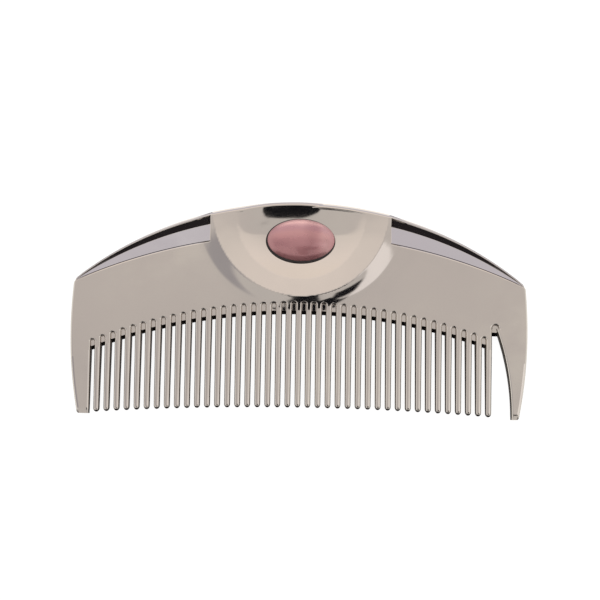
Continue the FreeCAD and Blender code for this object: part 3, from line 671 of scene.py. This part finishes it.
def build_guard(name, side, material):
    """An end guard: a pillow between its inner and outer edges, with a bevelled tip."""
    inner_steps = [("inner", step) for step in SHOULDER_WIDTH * (1 - SHOULDER_STEPS[::-1])]
    fill = [("fill", share) for share in np.linspace(0, 1, GUARD_COLUMNS)[1:-1]]
    outer_steps = [("outer", step * SIDE_BEVEL) for step in EDGE_STEPS[::-1]]
    columns = inner_steps + fill + outer_steps
    levels = np.linspace(0, 1, GUARD_ROWS)
    tip_y = GUARD_TIP + GUARD_TIP_BEVEL

    def inner_edge(y):
        return beak_x(y) if side > 0 else -(FIRST_GAP - GAP_HALF) + 0 * y

    grid = np.zeros((GUARD_ROWS + GUARD_TIP_ROWS, len(columns), 2))
    for c, (kind, value) in enumerate(columns):
        y = np.zeros(grid.shape[0])
        for _ in range(GUARD_SETTLING_ROUNDS):
            inner = inner_edge(y)
            outer = side_x(y)
            if kind == "inner":
                x = inner + value
            elif kind == "outer":
                x = outer - value
            else:
                x = inner + SHOULDER_WIDTH + (outer - SIDE_BEVEL - inner - SHOULDER_WIDTH) * value
            top = root_y(x)[:GUARD_ROWS]
            straight = top + (tip_y - top) * levels
            bevel = GUARD_TIP + GUARD_TIP_BEVEL * (1 - np.linspace(0, 1, GUARD_TIP_ROWS + 1)[1:])
            y = np.concatenate([straight, bevel])
        grid[:, c, 0], grid[:, c, 1] = side * x, y
    x, y = np.abs(grid[..., 0]), grid[..., 1]
    along = np.clip((root_y(x) - y) / (root_y(x) - GUARD_TIP), 0, 1)
    half_thickness = MIDDLE + (TIP_HALF_THICKNESS - MIDDLE) * along
    inner_drop = shoulder_drop(np.clip(SHOULDER_WIDTH - (x - inner_edge(y)), 0, SHOULDER_WIDTH))
    outer_drop = bevel_over(side_x(y) - x, SIDE_BEVEL, SIDE_BEVEL * BEVEL_FALL)
    end_drop = GUARD_TIP_FALL * np.clip(1 - (y - GUARD_TIP) / GUARD_TIP_BEVEL, 0, 1)
    drop = np.minimum(np.maximum(inner_drop, outer_drop) + end_drop, half_thickness - GUARD_THINNEST)
    u = np.clip(GUARD_TIP_CORNER - (side_x(y) - x), 0, None)
    v = np.clip(GUARD_TIP_CORNER - (y - GUARD_TIP), 0, None)
    pull = corner_pull(u, v)
    x, y = x - u * (1 - pull), y + v * (1 - pull)
    front = np.stack([side * x, y, MIDDLE + half_thickness - drop], axis=-1)
    back = np.stack([side * x, y, MIDDLE - half_thickness + drop], axis=-1)
    rows, count = front.shape[:2]
    vertices = np.concatenate([front.reshape(-1, 3), back.reshape(-1, 3)])
    offset = rows * count
    faces = []
    for row in range(rows - 1):
        for c in range(count - 1):
            low, high = row * count + c, (row + 1) * count + c
            face = [low, low + 1, high + 1, high]
            faces.append(face)
            faces.append([offset + corner for corner in face[::-1]])
    outline = list(range(count))
    outline += [row * count + count - 1 for row in range(1, rows)]
    outline += [(rows - 1) * count + c for c in range(count - 2, -1, -1)]
    outline += [row * count for row in range(rows - 2, 0, -1)]
    for k, a in enumerate(outline):
        b = outline[(k + 1) % len(outline)]
        faces.append([b, a, offset + a, offset + b])
    if side > 0:
        faces = [face[::-1] for face in faces]
    return make_piece(f"{name}_skin", vertices, faces, material, "polished_metal", name)


def rings_to_piece(name, rings, closed, material, slot, node):
    """A mesh through rings of equal length: closed into a tube, or capped below and pointed above."""
    segments = len(rings[0])
    faces = []
    count = len(rings)
    for ring in range(count if closed else count - 1):
        low, high = ring * segments, (ring + 1) % count * segments
        for k in range(segments):
            after = (k + 1) % segments
            faces.append([low + k, low + after, high + after, high + k])
    vertices = np.concatenate(rings)
    if not closed:
        last, pole = (count - 1) * segments, len(vertices)
        tip = [*vertices[last:].mean(axis=0)[:2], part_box(node)[1].z / MM]
        vertices = np.concatenate([vertices, [tip]])
        faces += [[last + k, last + (k + 1) % segments, pole] for k in range(segments)]
        faces.append(list(range(segments))[::-1])
    return make_piece(name, vertices, faces, material, slot, node)


def oval_ring(centre, half, z):
    """Points of a level oval."""
    angles = np.linspace(0, 2 * math.pi, OVAL_SEGMENTS, endpoint=False)
    x = centre[0] + half[0] * np.cos(angles)
    y = centre[1] + half[1] * np.sin(angles)
    return np.stack([x, y, np.full(OVAL_SEGMENTS, z)], axis=1)


def build_cabochon(material):
    """The domed oval, a little steeper at its girdle than an ellipsoid."""
    low, high = (np.array(corner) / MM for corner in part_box("cabochon"))
    centre = (low + high)[:2] / 2 + DOME_SHIFT
    half = (high - low)[:2] / 2 - DOME_INSET
    rings = []
    for tilt in np.linspace(0, math.pi / 2, DOME_RINGS + 1)[:-1]:
        reach, rise = math.cos(tilt) ** DOME_PLAN_CURVE, math.sin(tilt) ** DOME_RISE_CURVE
        rings.append(oval_ring(centre, half * reach, low[2] + (high[2] - low[2]) * rise))
    return rings_to_piece("cabochon_dome", rings, False, material, "rose_stone", "cabochon")


def build_adhesive_bead(material):
    """The dark bond line squeezed out round the dome's foot, as a ring in the dish; nearly black, it also
    stands in as painted shade for the gap under the dome.
    """
    low, high = (np.array(corner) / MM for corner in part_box("cabochon_adhesive"))
    centre, half = (low + high)[:2] / 2, (high - low)[:2] / 2
    top = BEAD_CROWN[-1][1]
    section = [(0.0, BEAD_FOOT), *BEAD_CROWN, (BEAD_INSIDE, top), (BEAD_INSIDE, BEAD_FOOT)]
    rings = [oval_ring(centre, half - inset, THICKNESS + rise) for inset, rise in section]
    return rings_to_piece("adhesive_bead_and_gap_shade", rings, True, material, "adhesive", "cabochon_adhesive")


# --- materials -----------------------------------------------------------------------------------

METAL_DARK, METAL_LIGHT, METAL_SPECK = (0.645, 0.602, 0.580), (0.775, 0.735, 0.682), (0.700, 0.655, 0.622)
# Painted shade laid on the step along the flutes' lower edges
SEAM_PAINTED_SHADE = (0.035, 0.032, 0.032)
METAL_ROUGHNESS = (0.05, 0.10)  # lowest and highest
WAVE_HEIGHT, HAIRLINE_HEIGHT = 0.00004, 0.0000008  # in metres
# Near black: the bond line's own colour, and painted shade for the gap under the dome
ADHESIVE_AND_GAP_SHADE_DARK, ADHESIVE_AND_GAP_SHADE_LIGHT = (0.010, 0.008, 0.009), (0.028, 0.020, 0.021)
ADHESIVE_ROUGHNESS = (0.30, 0.42)
LUMP_HEIGHT = 0.00002  # in metres
STONE_ROUGHNESS = (0.24, 0.32)
STONE_DRIFT = 0.16  # how far the clouds push the stone's tones about, as a share of the oval
STONE_STOPS_WITH_PAINTED_LIGHT = [  # share of the oval's height from its tooth side, and colour; the pink is the stone's own, the rise from dark at the teeth to light at the spine is painted light and shade
    (0.0, (0.54, 0.24, 0.26)),
    (0.22, (0.58, 0.265, 0.285)),
    (0.5, (0.57, 0.27, 0.29)),
    (0.78, (0.66, 0.345, 0.355)),
    (1.0, (0.86, 0.50, 0.49)),
]
STONE_PAINTED_LIGHT_BANDS = [  # middle and half width along the oval, strength and colour of soft bands across it; the two dark bands are painted shade, the light one at the right end a painted highlight
    (0.12, 0.20, 0.22, (0.34, 0.14, 0.155)),
    (0.74, 0.17, 0.38, (0.36, 0.15, 0.165)),
    (0.93, 0.13, 0.45, (0.76, 0.47, 0.46)),
]
NOISE_LOW, NOISE_HIGH = 0.3, 0.7  # most of a noise lies between these


def new_material(name):
    material = bpy.data.materials.new(name)
    material.use_nodes = True
    return material, material.node_tree, material.node_tree.nodes["Principled BSDF"]


def feed(tree, node, values):
    """Sets a node's first inputs to numbers, or links them to sockets."""
    for socket, value in zip(node.inputs, values):
        if isinstance(value, bpy.types.NodeSocket):
            tree.links.new(value, socket)
        else:
            socket.default_value = value


def add_math(tree, operation, *values):
    node = tree.nodes.new("ShaderNodeMath")
    node.operation = operation
    feed(tree, node, values)
    return node.outputs[0]


def add_vector_math(tree, operation, *values):
    """A Vector Math node's output: a number for a dot product, else a vector."""
    node = tree.nodes.new("ShaderNodeVectorMath")
    node.operation = operation
    feed(tree, node, values)
    return node.outputs["Value" if operation == "DOT_PRODUCT" else "Vector"]


def add_range(tree, value, from_low, from_high, low=0.0, high=1.0, kind="LINEAR"):
    """Maps a value from one range to another, and holds it there."""
    node = tree.nodes.new("ShaderNodeMapRange")
    node.interpolation_type = kind
    feed(tree, node, (value, from_low, from_high, low, high))
    return node.outputs["Result"]


def add_span(tree, value, middle, outer, inner):
    """1 where the value is less than inner from the middle, falling smoothly to 0 at outer."""
    distance = add_math(tree, "ABSOLUTE", add_math(tree, "SUBTRACT", value, middle))
    return add_range(tree, distance, outer, inner, kind="SMOOTHSTEP")


def add_noise(tree, scale, detail, stretch=(1, 1, 1)):
    """Smooth noise over object space, with scale in cells per metre."""
    place = tree.nodes.new("ShaderNodeTexCoord")
    mapping = tree.nodes.new("ShaderNodeMapping")
    mapping.inputs["Scale"].default_value = stretch
    tree.links.new(place.outputs["Object"], mapping.inputs["Vector"])
    noise = tree.nodes.new("ShaderNodeTexNoise")
    noise.inputs["Scale"].default_value = scale
    noise.inputs["Detail"].default_value = detail
    tree.links.new(mapping.outputs["Vector"], noise.inputs["Vector"])
    return noise.outputs["Fac"]


def spread(tree, value, low, high):
    """Maps the middle of a noise to low to high."""
    return add_range(tree, value, NOISE_LOW, NOISE_HIGH, low, high)


def mix_colours(tree, value, first, second):
    """A colour that goes from the first to the second as the value goes from 0 to 1."""
    mix = tree.nodes.new("ShaderNodeMix")
    mix.data_type = "RGBA"
    tree.links.new(value, mix.inputs["Factor"])
    for socket, colour in (("A", first), ("B", second)):
        if isinstance(colour, tuple):
            mix.inputs[socket].default_value = (*colour, 1)
        else:
            tree.links.new(colour, mix.inputs[socket])
    return mix.outputs["Result"]


def colour_ramp(tree, value, stops):
    """A colour read from stops of position and colour."""
    ramp = tree.nodes.new("ShaderNodeValToRGB")
    tree.links.new(value, ramp.inputs["Fac"])
    elements = ramp.color_ramp.elements
    while len(elements) < len(stops):
        elements.new(0.5)
    for element, (position, colour) in zip(elements, stops):
        element.position = position
        element.color = (*colour, 1)
    return ramp.outputs["Color"]


def add_bump(tree, shader, layers):
    """Stacks bumps, each a noise and its height in metres, on a shader's normal."""
    normal = None
    for value, height in layers:
        bump = tree.nodes.new("ShaderNodeBump")
        bump.inputs["Distance"].default_value = height
        tree.links.new(value, bump.inputs["Height"])
        if normal:
            tree.links.new(normal, bump.inputs["Normal"])
        normal = bump.outputs["Normal"]
    tree.links.new(normal, shader.inputs["Normal"])


def polished_metal():
    """Warm plated metal: polishing waves, hairlines along the comb, slightly uneven gloss and tone, and a
    painted shade line, nearly black, along the flutes' lower edges.
    """
    material, tree, shader = new_material("polished_metal")
    patches = spread(tree, add_noise(tree, scale=26, detail=2), 0, 1)
    specks = spread(tree, add_noise(tree, scale=140, detail=4), 0, 1)
    broad = mix_colours(tree, patches, METAL_DARK, METAL_LIGHT)
    colour = mix_colours(tree, specks, METAL_SPECK, broad)
    # Painted shade: where the seam mask is 1, the colour turns nearly black along the flutes' lower edges
    seam = tree.nodes.new("ShaderNodeAttribute")
    seam.attribute_name = "seam"
    colour = mix_colours(tree, seam.outputs["Fac"], colour, SEAM_PAINTED_SHADE)
    tree.links.new(colour, shader.inputs["Base Color"])
    shader.inputs["Metallic"].default_value = 1.0
    smudges = add_noise(tree, scale=160, detail=4, stretch=(1, 1.6, 1))
    tree.links.new(spread(tree, smudges, *METAL_ROUGHNESS), shader.inputs["Roughness"])
    waves = add_noise(tree, scale=110, detail=1)
    hairlines = add_noise(tree, scale=900, detail=2, stretch=(0.12, 2.2, 1))
    add_bump(tree, shader, [(waves, WAVE_HEIGHT), (hairlines, HAIRLINE_HEIGHT)])
    return material


def rose_stone():
    """Polished dusty rose stone: cloudy body, with painted light that makes it lighter towards the spine and
    darker towards the teeth, two painted shade bands and a painted highlight band at its right end.
    """
    material, tree, shader = new_material("rose_stone")
    place = tree.nodes.new("ShaderNodeTexCoord")
    clouds = add_noise(tree, scale=210, detail=4, stretch=(1, 1.5, 1))
    drift = add_vector_math(tree, "MULTIPLY", clouds, (STONE_DRIFT,) * 3)
    moved = add_vector_math(tree, "ADD", place.outputs["Generated"], drift)
    parts = tree.nodes.new("ShaderNodeSeparateXYZ")
    tree.links.new(moved, parts.inputs[0])
    # Painted light and shade: the colour runs from dark at the tooth side to light at the spine side
    stops = [(min(position + STONE_DRIFT / 2, 1), colour) for position, colour in STONE_STOPS_WITH_PAINTED_LIGHT]
    body = colour_ramp(tree, parts.outputs["Y"], stops)
    # Painted shade bands and a painted highlight band across the oval
    for middle, half, share, colour in STONE_PAINTED_LIGHT_BANDS:
        band = add_span(tree, parts.outputs["X"], middle, half, 0.0)
        body = mix_colours(tree, add_math(tree, "MULTIPLY", band, share), body, colour)
    tree.links.new(body, shader.inputs["Base Color"])
    shader.inputs["Metallic"].default_value = 0.4
    tree.links.new(spread(tree, clouds, *STONE_ROUGHNESS), shader.inputs["Roughness"])
    shader.inputs["Coat Weight"].default_value = 0.8
    shader.inputs["Coat Roughness"].default_value = 0.05
    return material


def dark_adhesive_and_gap_shade():
    """Cured epoxy: nearly black, glossy and a little lumpy; the near black also serves as painted shade for
    the gap under the dome.
    """
    material, tree, shader = new_material("dark_adhesive_and_gap_shade")
    lumps = add_noise(tree, scale=700, detail=3)
    colour = mix_colours(tree, spread(tree, lumps, 0, 1), ADHESIVE_AND_GAP_SHADE_DARK, ADHESIVE_AND_GAP_SHADE_LIGHT)
    tree.links.new(colour, shader.inputs["Base Color"])
    tree.links.new(spread(tree, lumps, *ADHESIVE_ROUGHNESS), shader.inputs["Roughness"])
    add_bump(tree, shader, [(lumps, LUMP_HEIGHT)])
    return material


# --- camera, stage and surroundings ---------------------------------------------------------------

CAMERA_TILT, CAMERA_ROLL = math.radians(5.3), math.radians(0.95)
CAMERA_AIM, CAMERA_DISTANCE = Vector((0.0001, 0.00231, THICKNESS * MM)), 0.3112  # in metres
CAMERA_LENS, CAMERA_SENSOR = 71.0, 36.0
FLOOR_HALF, FLOOR_TONE, FLOOR_ROUGHNESS, FLOOR_GLOW = 3.0, 0.25, 0.8, 0.92
BACKDROP_SIDES, BACKDROP_RADIUS, BACKDROP_HEIGHT = 64, FLOOR_HALF * 0.95, 3.0
WOBBLE_SCALE, WOBBLE = 7.0, 0.05  # noise that bends directions a little, so that no edge is ruler-straight
HORIZON_LOW, HORIZON_HIGH, LIGHT_BELOW = -0.06, 0.02, 0.12  # height over which the tent darkens, and how far
CARD_LEAST_DEPTH = 0.05  # only directions with a greater cosine to a card's axis can reach it

# The cards and the tent's bands are placed and tuned so that the metal mirrors what it does in the photo.
# Cards standing round the comb: azimuth from the tooth side towards +X, elevation, half width and half height
# in degrees, softness and colour
STANDING_CARDS = {
    "left_wall": (-92, 18, 38, 22, 0.5, (0.95, 0.93, 0.88)),
    "right_wall": (92, 18, 38, 22, 0.5, (0.95, 0.93, 0.88)),
    "dark_wall": (0, 10.5, 43, 25.5, 0.06, (0.021, 0.018, 0.020)),
    "stand": (4.5, 62, 5.8, 17.5, 0.02, (0.008, 0.008, 0.010)),
    "tripod": (43, 66, 5.5, 4.5, 0.03, (0.008, 0.008, 0.010)),
    "left_screen": (-75, 60, 8, 16, 0.10, (0.42, 0.40, 0.41)),
    "side_light": (72, 60, 7, 16, 0.04, (1.02, 0.97, 0.94)),
}
# Cards hanging level over the comb: x from and to, and y from and to, one unit up, softness and colour
HANGING_CARDS = {
    "camera": (-0.055, 0.20, -0.40, -0.185, 0.01, (0.008, 0.008, 0.010)),
}
LEVEL_AXES = ((1, 0, 0), (0, 1, 0), (0, 0, 1))
SKY_STOPS = [  # how far a direction points towards the spine, and the tent's colour there
    (-1.0, (0.62, 0.60, 0.58)),
    (-0.7, (0.66, 0.63, 0.60)),
    (-0.35, (0.65, 0.62, 0.59)),
    (0.02, (0.65, 0.61, 0.58)),
    (0.155, (0.665, 0.62, 0.59)),
    (0.205, (0.87, 0.80, 0.74)),
    (0.30, (0.98, 0.89, 0.82)),
    (0.40, (1.00, 0.90, 0.81)),
    (0.49, (1.00, 0.90, 0.81)),
    (0.56, (0.69, 0.67, 0.735)),
    (0.82, (0.69, 0.67, 0.735)),
    (0.95, (1.30, 1.25, 1.18)),
]


def place_camera():
    """The photograph's viewpoint: almost straight down, a little from the tooth side."""
    back = Vector((0, -math.sin(CAMERA_TILT), math.cos(CAMERA_TILT)))
    up = Vector((0, math.cos(CAMERA_TILT), math.sin(CAMERA_TILT)))
    right = Vector((1, 0, 0))
    turned_up = up * math.cos(CAMERA_ROLL) - right * math.sin(CAMERA_ROLL)
    turned_right = turned_up.cross(back)
    data = bpy.data.cameras.new("camera")
    data.lens = CAMERA_LENS
    data.sensor_width = CAMERA_SENSOR
    camera = bpy.data.objects.new("camera", data)
    bpy.context.scene.collection.objects.link(camera)
    camera.matrix_world = Matrix.Translation(CAMERA_AIM + back * CAMERA_DISTANCE) @ Matrix(
        (turned_right, turned_up, back)
    ).transposed().to_4x4()
    bpy.context.scene.camera = camera


def make_stage():
    """The pale floor, partly self-lit and left out of reflections."""
    material, _, shader = new_material("floor")
    shader.inputs["Base Color"].default_value = (FLOOR_TONE, FLOOR_TONE, FLOOR_TONE, 1)
    shader.inputs["Roughness"].default_value = FLOOR_ROUGHNESS
    shader.inputs["Emission Color"].default_value = (1, 1, 1, 1)
    shader.inputs["Emission Strength"].default_value = FLOOR_GLOW
    corners = [(x * FLOOR_HALF, y * FLOOR_HALF, 0) for x, y in ((-1, -1), (1, -1), (1, 1), (-1, 1))]
    floor = new_object("floor", corners, [(0, 1, 2, 3)], material)
    floor.visible_glossy = False
    make_backdrop(material)


def make_backdrop(material):
    """A round wall near the floor's rim, seen by the camera alone, that keeps low views plain."""
    turns = np.linspace(0, math.tau, BACKDROP_SIDES, endpoint=False)
    circle = [(BACKDROP_RADIUS * math.sin(turn), BACKDROP_RADIUS * math.cos(turn)) for turn in turns]
    vertices = [(x, y, z) for z in (0.0, BACKDROP_HEIGHT) for x, y in circle]
    faces = []
    for side in range(BACKDROP_SIDES):
        after = (side + 1) % BACKDROP_SIDES
        faces.append((side, after, BACKDROP_SIDES + after, BACKDROP_SIDES + side))
    backdrop = new_object("backdrop", vertices, faces, material)
    backdrop.visible_glossy = backdrop.visible_diffuse = backdrop.visible_shadow = False


def sky_ramp(tree, direction):
    """The tent's colour along a direction, and how high the direction points."""
    parts = tree.nodes.new("ShaderNodeSeparateXYZ")
    tree.links.new(direction, parts.inputs[0])
    stops = [((position + 1) / 2, colour) for position, colour in SKY_STOPS]
    place = add_range(tree, parts.outputs["Y"], -1.0, 1.0)
    return colour_ramp(tree, place, stops), parts.outputs["Z"]


def add_card(tree, direction, colour, axes, ranges, softness, paint):
    """Lays one card over the tent's colour, and returns the new colour.

    The card lies square to the last axis, one unit away; each range is its extent along another axis.
    """
    depth = add_vector_math(tree, "DOT_PRODUCT", direction, axes[2])
    share = add_math(tree, "GREATER_THAN", depth, CARD_LEAST_DEPTH)
    for axis, (low, high) in zip(axes, ranges):
        along = add_vector_math(tree, "DOT_PRODUCT", direction, axis)
        place = add_math(tree, "DIVIDE", along, depth)
        outer, inner = (high - low + softness) / 2, (high - low - softness) / 2
        share = add_math(tree, "MULTIPLY", add_span(tree, place, (low + high) / 2, outer, inner), share)
    return mix_colours(tree, share, colour, paint)


def add_cards(tree, direction, colour):
    """Lays every card over the tent's colour."""
    for azimuth, elevation, half_width, half_height, softness, paint in STANDING_CARDS.values():
        turn, rise = math.radians(azimuth), math.radians(elevation)
        forward = Vector((math.sin(turn) * math.cos(rise), -math.cos(turn) * math.cos(rise), math.sin(rise)))
        across = Vector((math.cos(turn), math.sin(turn), 0))
        extents = [math.tan(math.radians(half)) for half in (half_width, half_height)]
        ranges = [(-extent, extent) for extent in extents]
        axes = (across, forward.cross(across), forward)
        colour = add_card(tree, direction, colour, axes, ranges, softness, paint)
    for left, right, low, high, softness, paint in HANGING_CARDS.values():
        ranges = [(left, right), (low, high)]
        colour = add_card(tree, direction, colour, LEVEL_AXES, ranges, softness, paint)
    return colour


def make_world():
    """A light tent with dark and bright cards, dark under the table's level."""
    world = bpy.data.worlds.new("studio")
    world.use_nodes = True
    tree = world.node_tree
    place = tree.nodes.new("ShaderNodeTexCoord")
    wobble = tree.nodes.new("ShaderNodeTexNoise")
    wobble.inputs["Scale"].default_value = WOBBLE_SCALE
    tree.links.new(place.outputs["Generated"], wobble.inputs["Vector"])
    size, shift = (WOBBLE,) * 3, (-WOBBLE / 2,) * 3
    centred = add_vector_math(tree, "MULTIPLY_ADD", wobble.outputs["Color"], size, shift)
    direction = add_vector_math(tree, "ADD", place.outputs["Generated"], centred)
    colour, height = sky_ramp(tree, direction)
    colour = add_cards(tree, direction, colour)
    strength = add_range(tree, height, HORIZON_LOW, HORIZON_HIGH, low=LIGHT_BELOW, kind="SMOOTHSTEP")
    background = tree.nodes["Background"]
    tree.links.new(colour, background.inputs["Color"])
    tree.links.new(strength, background.inputs["Strength"])
    bpy.context.scene.world = world


metal = polished_metal()
build_plate(metal)
for tooth in TEETH:
    build_tooth(tooth, metal)
build_guard("guard_left", -1, metal)
build_guard("guard_right", 1, metal)
build_cabochon(rose_stone())
build_adhesive_bead(dark_adhesive_and_gap_shade())
make_stage()
make_world()
place_camera()
bpy.context.scene.view_settings.view_transform = "Standard"
